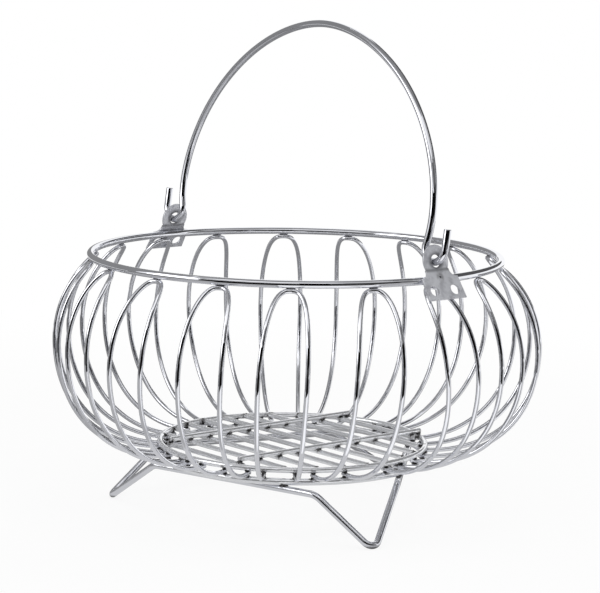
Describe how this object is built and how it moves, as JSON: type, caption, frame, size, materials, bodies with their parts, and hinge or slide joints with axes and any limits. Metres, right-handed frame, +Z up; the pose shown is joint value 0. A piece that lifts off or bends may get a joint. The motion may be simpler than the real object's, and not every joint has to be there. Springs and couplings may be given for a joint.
{
  "type": "wire fruit basket",
  "caption": "Bulging open bowl of hairpin wire loops between a round rim and a slatted base, on V-shaped wire feet, with a hooked bail handle that swings on sheet brackets.",
  "frame": {"origin": "on the table under the middle of the bowl, where the basket rests", "axes": "+Z up; X along the line of the two handle pivots, +X towards pivot_bracket_front; Y across it"},
  "size_m": [0.2862, 0.2858, 0.2862],
  "materials": {
    "rim_wire": "bright plated wire",
    "side_wire": "bright plated wire",
    "base_wire": "plated wire, duller at the welds",
    "foot_wire": "plated wire",
    "bracket_sheet": "dull mottled sheet steel",
    "bail_wire": "bright plated wire"
  },
  "bodies": {
    "basket": {"rim_ring": "rim_wire", "base_ring_upper": "base_wire", "base_ring_lower": "base_wire", "side_loop_01": "side_wire", "side_loop_02": "side_wire", "side_loop_03": "side_wire", "side_loop_04": "side_wire", "side_loop_05": "side_wire", "side_loop_06": "side_wire", "side_loop_07": "side_wire", "side_loop_08": "side_wire", "side_loop_09": "side_wire", "side_loop_10": "side_wire", "side_loop_11": "side_wire", "side_loop_12": "side_wire", "side_loop_13": "side_wire", "side_loop_14": "side_wire", "side_loop_15": "side_wire", "side_loop_16": "side_wire", "side_loop_17": "side_wire", "side_loop_18": "side_wire", "floor_wire_01": "base_wire", "floor_wire_02": "base_wire", "floor_wire_03": "base_wire", "floor_wire_04": "base_wire", "floor_wire_05": "base_wire", "floor_wire_06": "base_wire", "floor_wire_07": "base_wire", "floor_wire_08": "base_wire", "floor_wire_09": "base_wire", "floor_wire_10": "base_wire", "cross_bar_front": "base_wire", "cross_bar_rear": "base_wire", "foot_frame": "foot_wire", "pivot_bracket_front": "bracket_sheet", "pivot_bracket_rear": "bracket_sheet"},
    "bail": {"bail_handle": "bail_wire"}
  },
  "joints": [
    {"name": "bail_swing", "type": "hinge", "parent": "basket", "child": "bail", "pos_m": [0, -0.001, 0.15894], "axis": [1, 0, 0], "range_deg": [-83, 100]}
  ]
}
